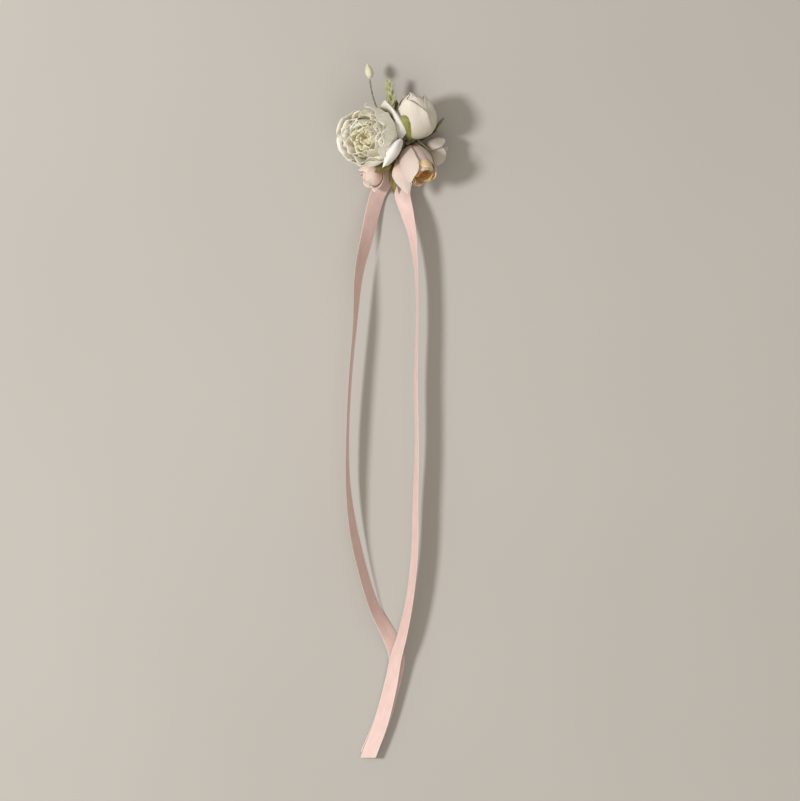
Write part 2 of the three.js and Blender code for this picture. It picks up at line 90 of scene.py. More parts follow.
# ---------------------------------------------------------------- materials
class Nodes:
    """A short way to build one material's node tree."""

    def __init__(self, name, roughness, **sockets):
        self.material = bpy.data.materials.new(name)
        self.material.use_nodes = True
        self.tree = self.material.node_tree
        self.shader = self.tree.nodes["Principled BSDF"]
        self.shader.inputs["Roughness"].default_value = roughness
        for socket, value in sockets.items():
            self.shader.inputs[socket.replace("_", " ")].default_value = value
        self.bump_out = None

    def add(self, kind, **values):
        node = self.tree.nodes.new(kind)
        for key, value in values.items():
            if key in node.inputs:
                node.inputs[key].default_value = value
            else:
                setattr(node, key, value)
        return node

    def link(self, out, into):
        self.tree.links.new(out, into)

    def coordinates(self, space, scale=(1, 1, 1)):
        source = self.add("ShaderNodeTexCoord").outputs[space]
        mapping = self.add("ShaderNodeMapping")
        mapping.inputs["Scale"].default_value = scale
        self.link(source, mapping.inputs["Vector"])
        return mapping.outputs["Vector"]

    def noise(self, vector, scale, detail=3.0, roughness=0.55):
        node = self.add("ShaderNodeTexNoise", Scale=scale, Detail=detail, Roughness=roughness)
        self.link(vector, node.inputs["Vector"])
        return node.outputs["Fac"]

    def wave(self, vector, scale, direction, distortion=0.0):
        node = self.add("ShaderNodeTexWave", bands_direction=direction, Scale=scale, Distortion=distortion)
        self.link(vector, node.inputs["Vector"])
        return node.outputs["Fac"]

    def ramp(self, factor, stops):
        node = self.add("ShaderNodeValToRGB")
        elements = node.color_ramp.elements
        while len(elements) < len(stops):
            elements.new(0.5)
        for element, (place, colour) in zip(elements, stops):
            element.position = place
            element.color = colour
        self.link(factor, node.inputs["Fac"])
        return node.outputs["Color"]

    def math(self, operation, first, second):
        node = self.add("ShaderNodeMath", operation=operation)
        for socket, value in zip(node.inputs, (first, second)):
            if isinstance(value, (int, float)):
                socket.default_value = value
            else:
                self.link(value, socket)
        return node.outputs[0]

    def mix(self, factor, first, second, blend="MIX"):
        node = self.add("ShaderNodeMix", data_type="RGBA", blend_type=blend)
        for socket, value in ((node.inputs[0], factor), (node.inputs[6], first), (node.inputs[7], second)):
            if isinstance(value, (int, float, tuple)):
                socket.default_value = value
            else:
                self.link(value, socket)
        return node.outputs[2]

    def bump(self, height, strength, distance):
        node = self.add("ShaderNodeBump", Strength=strength, Distance=distance)
        self.link(height, node.inputs["Height"])
        if self.bump_out:
            self.link(self.bump_out, node.inputs["Normal"])
        self.bump_out = node.outputs["Normal"]

    def finish(self, colour):
        self.link(colour, self.shader.inputs["Base Color"])
        if self.bump_out:
            self.link(self.bump_out, self.shader.inputs["Normal"])
        return self.material

    def uv_parts(self):
        split = self.add("ShaderNodeSeparateXYZ")
        self.link(self.add("ShaderNodeTexCoord").outputs["UV"], split.inputs[0])
        return split.outputs["X"], split.outputs["Y"]


def petal_material(name, base, middle, rim, subsurface):
    """Woven petal fabric: coloured from its base to its rim, with soft streaks, a fine weave and creases."""
    n = Nodes(name, 0.78, Sheen_Weight=0.25, Sheen_Roughness=0.5, Subsurface_Weight=subsurface)
    n.shader.inputs["Subsurface Radius"].default_value = (0.004, 0.003, 0.002)
    n.shader.inputs["Specular IOR Level"].default_value = 0.25
    _, along = n.uv_parts()
    space = n.coordinates("Object")
    wander = n.noise(space, 140.0)
    place = n.math("ADD", along, n.math("MULTIPLY", n.math("SUBTRACT", wander, 0.5), 0.3))
    colour = n.ramp(place, [(0.02, base), (0.5, middle), (0.97, rim)])
    streaks = n.noise(n.coordinates("UV", (26, 1.6, 1)), 1.6, 4.0)
    shade = n.ramp(streaks, [(0.3, (0.93, 0.92, 0.9, 1)), (0.7, (1, 1, 1, 1))])
    colour = n.mix(0.6, colour, shade, "MULTIPLY")
    threads = n.coordinates("UV")
    weave = n.math("ADD", n.wave(threads, 20.0, "X", 0.4), n.wave(threads, 20.0, "Y", 0.4))
    n.bump(weave, 0.12, 0.00008)
    n.bump(n.noise(n.coordinates("UV", (7, 1.4, 1)), 2.2, 4.0), 0.4, 0.0007)
    n.bump(n.noise(space, 420.0, 3.0), 0.25, 0.0003)
    return n.finish(colour)


def leaf_material(name, dark, light, edge):
    """Starched leaf fabric: olive, paler along its middle rib, with side veins and worn edges."""
    n = Nodes(name, 0.62, Sheen_Weight=0.2, Sheen_Roughness=0.4, Subsurface_Weight=0.1)
    n.shader.inputs["Subsurface Radius"].default_value = (0.002, 0.003, 0.001)
    across, along = n.uv_parts()
    off_rib = n.math("ABSOLUTE", n.math("SUBTRACT", across, 0.5), 0.0)
    patches = n.noise(n.coordinates("Object"), 260.0, 4.0)
    colour = n.ramp(patches, [(0.3, dark), (0.7, light)])
    veins = n.math("ADD", n.math("MULTIPLY", along, 9.0), n.math("MULTIPLY", off_rib, -7.0))
    swing = n.math("SINE", n.math("MULTIPLY", veins, math.pi), 0.0)
    lines = n.math("POWER", n.math("ABSOLUTE", swing, 0.0), 0.35)
    rib = n.math("MINIMUM", n.math("MULTIPLY", off_rib, 22.0), 1.0)
    relief = n.math("MULTIPLY", lines, rib)
    colour = n.mix(0.35, colour, n.ramp(relief, [(0.0, light), (0.6, dark)]))
    colour = n.mix(n.math("POWER", n.math("MULTIPLY", off_rib, 2.0), 9.0), colour, edge)
    n.bump(relief, 0.35, 0.0002)
    n.bump(n.noise(n.coordinates("Object"), 900.0), 0.3, 0.0001)
    return n.finish(colour)


def satin_material():
    """Double-face satin: smooth, glossy across its width, with fine cross threads and a firm selvage, whose
    pale band along each edge is a painted highlight.
    """
    n = Nodes("satin_blush", 0.48, Anisotropic=0.4, Sheen_Weight=0.15, Sheen_Roughness=0.4)
    n.shader.inputs["Specular IOR Level"].default_value = 0.35
    n.shader.inputs["Subsurface Weight"].default_value = 0.08
    n.shader.inputs["Subsurface Radius"].default_value = (0.003, 0.002, 0.0015)
    across, _ = n.uv_parts()
    soft = n.noise(n.coordinates("UV", (1.2, 0.5, 1)), 2.0, 3.0)
    colour = n.ramp(soft, [(0.3, srgb(208, 177, 168)), (0.7, srgb(216, 189, 181))])
    # Painted highlight: a pale band along each edge, standing in for the light the selvage catches.
    off_middle = n.math("ABSOLUTE", n.math("SUBTRACT", across, 0.5), 0.0)
    edge = n.math("POWER", n.math("MULTIPLY", off_middle, 2.0), 24.0)
    colour = n.mix(edge, colour, srgb(250, 236, 228))
    n.bump(n.wave(n.coordinates("UV"), 18.0, "Y"), 0.15, 0.00005)
    n.bump(n.wave(n.coordinates("UV"), 14.0, "X"), 0.08, 0.00004)
    n.bump(n.noise(n.coordinates("UV", (1, 0.35, 1)), 2.4, 3.0), 0.25, 0.0007)
    return n.finish(colour)


def felt_material():
    n = Nodes("felt_cream", 0.95, Sheen_Weight=0.5, Sheen_Roughness=0.7)
    space = n.coordinates("Object")
    fibres = n.noise(space, 1600.0, 6.0, 0.7)
    colour = n.ramp(n.math("ADD", fibres, n.math("MULTIPLY", n.noise(space, 120.0), 0.3)),
                    [(0.35, srgb(208, 200, 186)), (0.85, srgb(240, 234, 222))])
    n.bump(fibres, 0.6, 0.0003)
    return n.finish(colour)


def steel_material():
    n = Nodes("nickel_steel", 0.28, Metallic=1.0)
    space = n.coordinates("Object", (1, 0.06, 1))
    brushed = n.noise(space, 2600.0, 4.0)
    colour = n.ramp(brushed, [(0.3, srgb(176, 176, 174)), (0.7, srgb(208, 207, 203))])
    n.bump(brushed, 0.1, 0.00005)
    return n.finish(colour)


def glue_material():
    n = Nodes("hot_glue", 0.22, Subsurface_Weight=0.4)
    n.shader.inputs["Subsurface Radius"].default_value = (0.003, 0.003, 0.002)
    lumps = n.noise(n.coordinates("Object"), 240.0, 3.0)
    colour = n.ramp(lumps, [(0.3, srgb(206, 200, 180)), (0.7, srgb(232, 228, 212))])
    n.bump(lumps, 0.5, 0.0006)
    return n.finish(colour)


def tape_material(name, dark, light):
    """Stem tape: wound round the wire, with overlaps and a papery grain."""
    n = Nodes(name, 0.7)
    space = n.coordinates("Object")
    grain = n.noise(space, 500.0, 4.0)
    colour = n.ramp(grain, [(0.3, dark), (0.7, light)])
    turns = n.wave(n.coordinates("UV"), 6.0, "DIAGONAL", 0.6)
    n.bump(turns, 0.5, 0.0002)
    n.bump(grain, 0.4, 0.0001)
    return n.finish(colour)


# ---------------------------------------------------------------- meshes
def grid_object(name, patches, material, thickness):
    """One object from patches of points, each an array [rows, columns, 3] with its own 0-1 UV grid."""
    vertices, faces, uvs = [], [], []
    for patch in patches:
        rows, columns, _ = patch.shape
        start = len(vertices)
        vertices.extend(map(tuple, patch.reshape(-1, 3)))
        for i in range(rows - 1):
            for j in range(columns - 1):
                quad = ((i, j), (i, j + 1), (i + 1, j + 1), (i + 1, j))
                faces.append([start + r * columns + c for r, c in quad])
                uvs.extend((c / (columns - 1), r / (rows - 1)) for r, c in quad)
    mesh = bpy.data.meshes.new(name)
    mesh.from_pydata(vertices, [], faces)
    layer = mesh.uv_layers.new(name="weave")
    layer.data.foreach_set("uv", np.array(uvs, np.float32).ravel())
    mesh.polygons.foreach_set("use_smooth", [True] * len(faces))
    mesh.materials.append(material)
    obj = bpy.data.objects.new(name, mesh)
    bpy.context.scene.collection.objects.link(obj)
    if thickness:
        solid = obj.modifiers.new("thickness", "SOLIDIFY")
        solid.thickness = thickness
        solid.offset = 0
    smooth = obj.modifiers.new("smooth", "SUBSURF")
    smooth.levels = SMOOTHING
    smooth.render_levels = SMOOTHING
    return obj


def place(obj, slot, node):
    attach(obj, HEAD)
    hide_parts(node)


# ---------------------------------------------------------------- petals
ROWS, COLUMNS = 15, 15


def petal(turn, length, width, start, headings, rng, *, round_off=0.3, point=0.0, base_width=0.35, widest=0.7,
          lap=0.0, edge_curl=0.0, ruffle=0.0, waves=2.5, wobble=1.0):
    """One petal in its flower's frame, in millimetres, with +Z from the calyx to the heart.

    Seen from the side it leaves `start` (distance from the axis, height) and its heading follows `headings`,
    pairs of (share of length, degrees above the outward level). Its width is wrapped round the axis.
    """
    v, u = np.meshgrid(np.linspace(0, 1, ROWS), np.linspace(-1, 1, COLUMNS), indexing="ij")
    length *= 1 + wobble * rng.uniform(-0.05, 0.05)
    share = np.linspace(0, 1, 120)
    shares, angles = zip(*headings)
    heading = np.radians(np.interp(share, shares, angles) + wobble * rng.uniform(-4, 4))
    step = length / (len(share) - 1)
    out_line = start[0] + np.concatenate([[0], np.cumsum(np.cos(heading[1:]) * step)])
    up_line = start[1] + np.concatenate([[0], np.cumsum(np.sin(heading[1:]) * step)])
    reach = 1 - round_off * np.abs(u) ** 2.4 + point * (1 - np.abs(u)) ** 1.5
    reach /= 1 + point
    reach += wobble * 0.02 * np.sin(3.1 * u + rng.uniform(0, 6.28)) * v
    s = np.clip(v * reach, 0, 1)
    out = np.interp(s, share, out_line)
    up = np.interp(s, share, up_line)
    normal = np.interp(s, share, heading) - math.pi / 2
    swell = np.interp(v, [0, widest * 0.5, widest, 1], [base_width, 0.82, 1.0, 0.9])
    around = u * (width / 2) * swell
    phase = rng.uniform(0, 2 * math.pi)
    swing = waves * math.pi * u
    frill = ruffle * v**2.2 * (np.sin(swing + phase) + 0.5 * np.sin(2.3 * swing + 2 * phase))
    lift = lap * u * (0.3 + v) + edge_curl * np.abs(u) ** 3 * v + frill
    out = out + lift * np.cos(normal)
    up = up + lift * np.sin(normal)
    theta = turn + around / np.maximum(np.abs(out), 2.2)
    return np.stack([out * np.cos(theta), out * np.sin(theta), up], axis=-1)


def ring(count, rng, phase, **shape):
    """Petals evenly round the axis, each a little different."""
    jitter = 0.12
    return [petal(phase + 2 * math.pi * (i / count) + rng.uniform(-jitter, jitter), rng=rng, **shape)
            for i in range(count)]


def to_world(centre, axis, patches):
    """Patches in millimetres in a flower's frame, moved to metres in the row frame."""
    turn = np.array(Vector((0, 0, 1)).rotation_difference(Vector(axis).normalized()).to_matrix())
    return [(patch @ turn.T + np.array(centre)) * MM for patch in patches]


def angle_to(axis, direction):
    """Which way round a flower's axis a direction in the row frame lies."""
    turn = Vector((0, 0, 1)).rotation_difference(Vector(axis).normalized())
    local = turn.inverted() @ Vector(direction)
    return math.atan2(local.y, local.x)


def make_flower(name, centre, axis, parts):
    """parts: node suffix -> (patches, material, slot)."""
    for part, (patches, material, slot) in parts.items():
        node = f"{name}_{part}"
        obj = grid_object(f"{node}_cloth", to_world(centre, axis, patches), material, PETAL_THICKNESS)
        place(obj, slot, node)


def make_single(node, patches, material, slot):
    """A petal or calyx whose patches are in the row frame already."""
    place(grid_object(f"{node}_cloth", patches, material, PETAL_THICKNESS), slot, node)


def sepals(rng, start, length, width, headings):
    """Five short pointed leaves round the base of a flower."""
    return ring(5, rng, 0.0, length=length, width=width, start=start, headings=headings,
                round_off=0.55, point=0.9, base_width=0.8, widest=0.45, edge_curl=0.3, wobble=0.6)


def spiral(count, rng, phase, outer, inner, foot, dome, ruffle=1.2):
    """Petals of a full rose at golden angles, from radius `outer` to `inner`, with their rims on a dome.

    `foot` is the height of the first and the last petal's base, `dome` the dome's radius and height.
    """
    petals = []
    for i in range(count):
        t = i / (count - 1)
        radius = outer + (inner - outer) * t
        base = foot[0] + (foot[1] - foot[0]) * t
        top = dome[1] * math.sqrt(1 - (radius / dome[0]) ** 2) * rng.uniform(0.86, 1.08)
        length = 1.05 * radius + 0.92 * (top - base)
        bend = 1.05 * radius / length
        turn = phase + GOLDEN_ANGLE * i + rng.uniform(-0.4, 0.4)
        shoulder = 104 + rng.uniform(-8, 10)
        tip = rng.uniform(10, 70)
        headings = [(0, 8), (0.6 * bend, 22), (min(bend + 0.16, 0.8), 82),
                    (0.86, shoulder), (0.95, 80), (1, tip)]
        frill = ruffle * rng.uniform(0.7, 1.3)
        waves = rng.uniform(1.6, 3.2)
        petals.append(petal(turn, length, 8 + 1.2 * radius, (1.0, base), headings, rng,
                            round_off=0.2, lap=0.8, edge_curl=0.3, ruffle=frill, waves=waves))
    return petals


def smooth_line(points, count):
    """A uniform Catmull-Rom curve through points, sampled evenly in its parameter."""
    p = np.array(points, float)
    p = np.vstack([2 * p[0] - p[1], p, 2 * p[-1] - p[-2]])
    result = []
    for t in np.linspace(0, len(points) - 1, count):
        i = min(int(t), len(points) - 2)
        f = t - i
        a, b, c, d = p[i : i + 4]
        square = 2 * a - 5 * b + 4 * c - d
        cube = 3 * b - a - 3 * c + d
        result.append(0.5 * (2 * b + (c - a) * f + square * f**2 + cube * f**3))
    return np.array(result)


def draped(curves, rows=26, columns=17):
    """A petal through curves that cross it from its base to its rim, in millimetres in the row frame."""
    across = np.array([smooth_line(curve, columns) for curve in curves])
    patch = np.stack([smooth_line(across[:, j], rows) for j in range(columns)], axis=1)
    return patch * MM


# ---------------------------------------------------------------- flowers
# Single petals and sepals as curves across each, from its base to its rim, in millimetres in the row frame.
CURLED_PETAL = [
    [(-12, 12, 14), (-9, 9, 12.5), (-7.5, 5, 12.5), (-8, 1, 13.5)],
    [(-13, 21.5, 20), (-5, 16, 21), (-3, 9, 20.5), (-5, 2.4, 20)],
    [(-10.4, 26.4, 28), (-4.6, 19, 30), (-2.6, 11.4, 30), (-2.6, 4.4, 27)],
    [(-9.4, 27, 30), (-3.6, 20, 32.6), (0.8, 11.2, 32.4), (-1, 3.6, 28.6)],
    [(-8, 26.4, 29), (-2.2, 19.6, 31), (4.6, 9.8, 30.4), (1.4, 3.6, 27)],
]
GUARD_PETAL = [
    [(-0.2, -1, 12), (-1, -2, 11.4), (-1.6, -3, 11.4), (-2.4, -3.6, 12)],
    [(1.6, 0.2, 23), (0, -2.6, 22), (-2, -5.8, 22), (-4, -9.4, 22)],
    [(1.8, 1.8, 31), (0.6, -2.8, 32), (-1.6, -7.2, 32), (-7.4, -13, 29)],
    [(1, 2.8, 35), (-1.4, -1, 37), (-4.2, -5.6, 36.6), (-9.4, -13.8, 32)],
    [(0, 3.2, 35), (-4, 0.6, 36.6), (-8.2, -4.2, 35.6), (-11, -14.8, 30.6)],
]
LONG_PETAL = [
    [(-0.4, -3.6, 12), (0.8, -4, 11.6), (2, -4.2, 12)],
    [(-1.6, -8, 20), (0.4, -8.6, 21.6), (3, -8.4, 22)],
    [(-3.6, -13, 24), (-0.4, -13.6, 26.4), (4, -13.2, 27)],
    [(-5, -18.4, 23.4), (-0.6, -18.6, 25.8), (5, -18, 26.4)],
    [(-2.6, -23.4, 21.8), (2, -23.6, 23.4), (6.4, -22.6, 23.6)],
    [(1.6, -27.6, 20.4), (4, -27.4, 21.2), (6.2, -26.6, 21.2)],
    [(4.7, -30.2, 19.6), (5, -30.3, 19.7), (5.3, -30.1, 19.6)],
]
BUD_SEPAL = [
    [(4.4, 2.6, 21), (6.4, 2.4, 22), (8.4, 2.8, 22)],
    [(3, 6.6, 28), (5.6, 6.6, 29.8), (8, 6.8, 30)],
    [(0, 11.6, 30.2), (3.4, 12, 33), (7, 11.6, 33.4)],
    [(-1.3, 14.6, 29.6), (1.6, 15.8, 33.2), (5.4, 15.6, 34.2)],
    [(0.3, 16.8, 31.4), (1.8, 17.6, 33.2), (3.7, 17.2, 34)],
]
TWIG_SEPAL = [(11, 3, 26), (13, 0.4, 34), (17, -3.4, 36), (20.6, -9, 34)]


def make_white_rose(paint):
    rng = np.random.default_rng(11)
    dome = (24, 10.4)
    white, cream = paint["white"], paint["cream"]
    make_flower("white_rose", **WHITE_ROSE, parts={
        "guard_petals": (spiral(6, rng, 0.2, 17.2, 16.2, (-12, -11), dome, 1.0), white, "white_petal"),
        "outer_petals": (spiral(7, rng, 1.3, 15, 11.8, (-10.6, -9.4), dome, 1.5), white, "white_petal"),
        "middle_petals": (spiral(7, rng, 0.7, 11.6, 8, (-9, -7.4), dome, 1.8), white, "white_petal"),
        "inner_petals": (spiral(7, rng, 2.1, 7.6, 4, (-7, -5.4), dome, 1.7), cream, "white_petal"),
        "heart": (spiral(5, rng, 0.4, 3.4, 1.4, (-4.6, -4.2), (24, 9.8)), cream, "cream_heart"),
        "calyx": (sepals(rng, (0.6, -15.2), 9.5, 6, [(0, 0), (1, 40)]), paint["sepal"], "sepal_fabric"),
    })
    make_single("white_rose_curled_petal", [draped(CURLED_PETAL)], paint["white_guard_painted_shade"], "white_petal")


def make_white_bud(paint):
    axis = WHITE_BUD["axis"]
    rng = np.random.default_rng(5)
    face = angle_to(axis, (-0.5, 0, 1))
    outer = ring(3, rng, face, length=36, width=31, start=(0.6, -14.6),
                 headings=[(0, 0), (0.14, 20), (0.46, 82), (0.74, 116), (0.92, 124), (0.97, 100), (1, 84)],
                 round_off=0.16, point=0.2, base_width=0.5, widest=0.55, lap=0.7, edge_curl=0.25, ruffle=0.3,
                 wobble=0.8)
    inner = ring(4, rng, face + 0.8, length=38, width=25, start=(0.6, -13.4),
                 headings=[(0, 0), (0.16, 28), (0.48, 88), (0.8, 134), (0.95, 136), (1, 120)],
                 round_off=0.16, point=0.16, base_width=0.5, widest=0.55, lap=0.6, ruffle=0.4, wobble=0.9)
    heart = ring(5, rng, face + 0.3, length=34, width=17, start=(0.5, -9.5),
                 headings=[(0, 0), (0.14, 30), (0.42, 88), (0.7, 130), (1, 150)],
                 round_off=0.2, base_width=0.5, widest=0.55, lap=0.6, ruffle=0.3, wobble=0.4)
    short_sepal = {"round_off": 0.5, "point": 0.5, "base_width": 0.9, "widest": 0.4}
    calyx = [
        petal(angle_to(axis, (1, 0, -0.05)), 20, 5.2, (0.6, -15.4),
              [(0, 0), (0.3, 20), (0.6, 60), (0.8, 40), (1, 10)], rng,
              round_off=0.12, base_width=0.9, widest=0.95, edge_curl=1.0),
        petal(angle_to(axis, (0.5, 0, 1)), 9, 9, (0.6, -15.2), [(0, 0), (1, 56)], rng, **short_sepal),
        petal(angle_to(axis, (-0.3, 0, -1)), 14, 9, (0.6, -15.2), [(0, 0), (1, 70)], rng, **short_sepal),
    ]
    make_flower("white_bud", **WHITE_BUD, parts={
        "outer_petals": (outer, paint["bud"], "bud_petal"),
        "inner_petals": (inner, paint["bud"], "bud_petal"),
        "heart": (heart, paint["bud"], "bud_petal"),
    })
    patches = to_world(patches=calyx, **WHITE_BUD) + [draped(BUD_SEPAL, 24, 13)]
    make_single("white_bud_calyx", patches, paint["sepal_olive"], "sepal_fabric")


def make_blush_rose(paint):
    rng = np.random.default_rng(8)
    up = angle_to(BLUSH_ROSE["axis"], (-0.3, 0.3, 1))
    closed = [(0, 10), (0.15, 36), (0.42, 76), (0.75, 104), (0.93, 112), (1, 80)]
    low = [(0, 10), (0.15, 36), (0.42, 76), (0.8, 100), (0.94, 92), (1, 60)]
    petals = [(-0.6, 32, 23, closed), (0.8, 32, 23, closed), (2.1, 30, 22, low), (3.3, 28, 22, low),
              (-1.9, 29, 22, low)]
    outer = [petal(up + turn, length, width, (0.8, -13.4), headings, rng,
                   round_off=0.22, base_width=0.45, lap=0.5, edge_curl=0.3)
             for turn, length, width, headings in petals]
    middle = ring(4, rng, up + 0.5, length=28, width=19, start=(0.8, -11.8),
                  headings=[(0, 15), (0.2, 50), (0.5, 84), (0.85, 102), (1, 96)],
                  round_off=0.2, lap=0.6, base_width=0.5, ruffle=0.25)
    inner = ring(4, rng, up + 0.2, length=24.5, width=14, start=(0.7, -10),
                 headings=[(0, 30), (0.3, 70), (0.6, 90), (1, 96)], round_off=0.22, lap=0.7, base_width=0.5,
                 ruffle=0.3)
    heart = ring(4, rng, 0.4, length=15, width=8, start=(0.6, -5.5), headings=[(0, 60), (0.5, 88), (1, 96)],
                 round_off=0.3, lap=0.8, ruffle=0.5)
    make_flower("blush_rose", **BLUSH_ROSE, parts={
        "outer_petals": (outer, paint["blush"], "blush_petal"),
        "middle_petals": (middle, paint["ochre_rim"], "blush_petal"),
        "inner_petals": (inner, paint["ochre_inner"], "blush_petal"),
        "heart": (heart, paint["ochre"], "ochre_heart"),
    })
    calyx = to_world(patches=sepals(rng, (0.6, -14.6), 7, 5, [(0, 0), (1, 50)]), **BLUSH_ROSE)
    calyx.append(blade(TWIG_SEPAL, 1.0, stalk=0.3, stalk_width=0.6) * MM)
    make_single("blush_rose_calyx", calyx, paint["sepal"], "sepal_fabric")
    make_single("blush_rose_guard_petal", [draped(GUARD_PETAL)], paint["white_guard_painted_shade"], "blush_petal")
    make_single("blush_rose_long_petal", [draped(LONG_PETAL, 34, 15)], paint["blush_rib"], "blush_petal")


def make_side_flower(name, flower, radius, seed, material, slot, paint):
    rng = np.random.default_rng(seed)
    k = radius / 9.4  # its petals are drawn for a radius of 9.4
    outer = ring(4, rng, 0.4, length=18.5 * k, width=19 * k, start=(0.8, -7.2 * k),
                 headings=[(0, 10), (0.35, 46), (0.7, 84), (0.92, 96), (1, 60)],
                 round_off=0.22, lap=0.6, edge_curl=0.3, ruffle=0.25, waves=1.2)
    inner = ring(4, rng, 1.0, length=16 * k, width=13 * k, start=(0.7, -5.4 * k),
                 headings=[(0, 24), (0.4, 66), (0.8, 98), (1, 90)],
                 round_off=0.22, lap=0.6, ruffle=0.25, waves=1.4)
    heart = ring(4, rng, 0.2, length=7 * k, width=5 * k, start=(0.4, -2.4 * k),
                 headings=[(0, 70), (1, 84)], round_off=0.3, lap=0.6, ruffle=0.6)
    calyx = sepals(rng, (0.5, -8.4 * k), 5.5, 3.6, [(0, 0), (1, 46)])
    make_flower(name, **flower, parts={
        "outer_petals": (outer, material, slot),
        "inner_petals": (inner, material, slot),
        "heart": (heart, paint["cream"], "cream_heart"),
        "calyx": (calyx, paint["sepal"], "sepal_fabric"),
    })


# ---------------------------------------------------------------- greenery
LEAF_FOLD = 0.18  # rise of a leaf's edges for each millimetre off its middle


def blade(points, width, stalk=0.3, rows=26, columns=11, stalk_width=1.0):
    """A leaf that faces up, along a curve from its stalk to its tip, in millimetres in the row frame."""
    line = smooth_line(points, rows)
    along = np.gradient(line, axis=0)
    along /= np.linalg.norm(along, axis=1)[:, None]
    side = np.cross(along, [0.0, 0.0, 1.0])
    side /= np.linalg.norm(side, axis=1)[:, None]
    up = np.cross(side, along)
    t = np.linspace(0, 1, rows)
    leaf = np.clip((t - stalk) / (1 - stalk), 0, 1)
    outline = width / 2 * np.sin(math.pi * leaf**0.75) ** 0.85 * (leaf > 0)
    half = np.maximum(stalk_width / 2 * (t < 0.98), outline)
    half = np.maximum(half, 0.06)
    u = np.linspace(-1, 1, columns)
    reach = u[None, :] * half[:, None]
    wavy = 0.05 * half[:, None] * np.sin(9 * t[:, None] + 3 * u[None, :])
    rise = LEAF_FOLD * np.abs(reach) + wavy
    return line[:, None, :] + reach[..., None] * side[:, None, :] + rise[..., None] * up[:, None, :]


LEAVES = {
    "left_leaf": ([(-6.4, -2.4, 10), (-7.6, -8.4, 15.4), (-10, -13.8, 20.4), (-15.8, -16.8, 22.4)], 7.4),
    "centre_leaf": ([(-3.4, -5.6, 10), (-4.8, -8, 13.4), (-5.4, -12, 16), (-4.4, -17, 16.6)], 6.6),
    "back_leaf": ([(-0.4, 5, 9.2), (-1, 10, 9.9), (-1.2, 20, 11.4), (-2.4, 29, 11.6)], 6),
    "tail_leaf": ([(-0.5, -5.6, 10), (-2.8, -12, 11.4), (-4, -20, 12.6), (-3.8, -29.4, 12)], 6.4),
    "right_leaf": ([(6.4, 1, 9.9), (10.4, 3.4, 10.8), (15.5, 7.8, 12.6), (23.4, 9.4, 13)], 5.4),
}


def make_leaves(paint):
    for name, (points, width) in LEAVES.items():
        patch = blade(points, width) * MM
        place(grid_object(f"{name}_cloth", [patch], paint["leaf"], LEAF_THICKNESS), "leaf_fabric", name)


def tube(points, radius, count=40, sides=10):
    """A closed round tube as one patch, with its ends drawn in."""
    line = smooth_line(points, count)
    along = np.gradient(line, axis=0)
    along /= np.linalg.norm(along, axis=1)[:, None]
    side = np.cross(along, [0.0, 0.0, 1.0])
    side /= np.linalg.norm(side, axis=1)[:, None]
    up = np.cross(side, along)
    angle = np.linspace(0, 2 * math.pi, sides + 1)
    size = np.full(count, radius)
    size[0] *= 0.02
    size[-1] *= 0.02
    level = np.cos(angle)[None, :, None] * side[:, None, :]
    upright = np.sin(angle)[None, :, None] * up[:, None, :]
    return line[:, None, :] + (level + upright) * size[:, None, None]


def make_filler(paint):
    route = [(-18.8, 41.6, 14.6), (-17.6, 34, 13.8), (-15, 25.4, 12.4), (-9.6, 15, 10.6), (-4.6, 6.2, 10)]
    stem = grid_object("filler_stem_tape", [tube(route, 0.52) * MM], paint["tape"], 0)
    place(stem, "stem_tape", "filler_stem")
    t = np.linspace(0, 1, 22)
    half = 3.0 * np.sin(math.pi * np.clip(t, 0.004, 0.996) ** 0.86) ** 0.8 * (1 - 0.3 * t)
    angle = np.linspace(0, 2 * math.pi, 25)
    ridge = 1 + 0.05 * np.cos(5 * angle)[None, :] * np.sin(math.pi * t)[:, None]
    y = 41.6 + 9.8 * t
    x = -18.8 - 1.6 * t**2
    shape = np.stack([x[:, None] + half[:, None] * np.cos(angle) * ridge, np.repeat(y[:, None], 25, 1),
                      14.8 + half[:, None] * np.sin(angle) * ridge], axis=-1)
    place(grid_object("filler_bud_skin", [shape * MM], paint["filler"], 0), "filler_bud", "filler_bud")


def make_sprig(paint):
    route = [(-7.4, 40, 15.4), (-6.6, 33, 15), (-5.8, 24, 13.6), (-3.4, 12, 12), (-2.4, 5.4, 10)]
    patches = [tube(route, 0.45)]
    rng = np.random.default_rng(3)
    leaflets = 26
    for i in range(leaflets):
        t = i / (leaflets - 1)
        y = 23 + 14.5 * t
        x = -6 - 1.4 * t
        z = 13.8 + 1.4 * t
        around = i * GOLDEN_ANGLE
        reach = (5.6 - 3.8 * t) * rng.uniform(0.6, 1.2)
        out = np.array([math.cos(around), 0.0, 0.6 * math.sin(around)])
        middle = np.array([x, y + 2.2, z]) + out * reach * 0.45
        tip = np.array([x, y + 5.6 - t, z]) + out * reach
        patches.append(blade([(x, y, z), middle, tip], 2.0, stalk=0.0, rows=9, columns=5, stalk_width=0.2))
    cloth = grid_object("green_sprig_leaflets", [p * MM for p in patches], paint["sprig"], LEAFLET_THICKNESS)
    place(cloth, "sprig_green", "green_sprig")


# ---------------------------------------------------------------- ribbons
RIBBON_WIDTH = 10.0
FELT_LIFT = 8.1  # height of a ribbon that lies on the felt

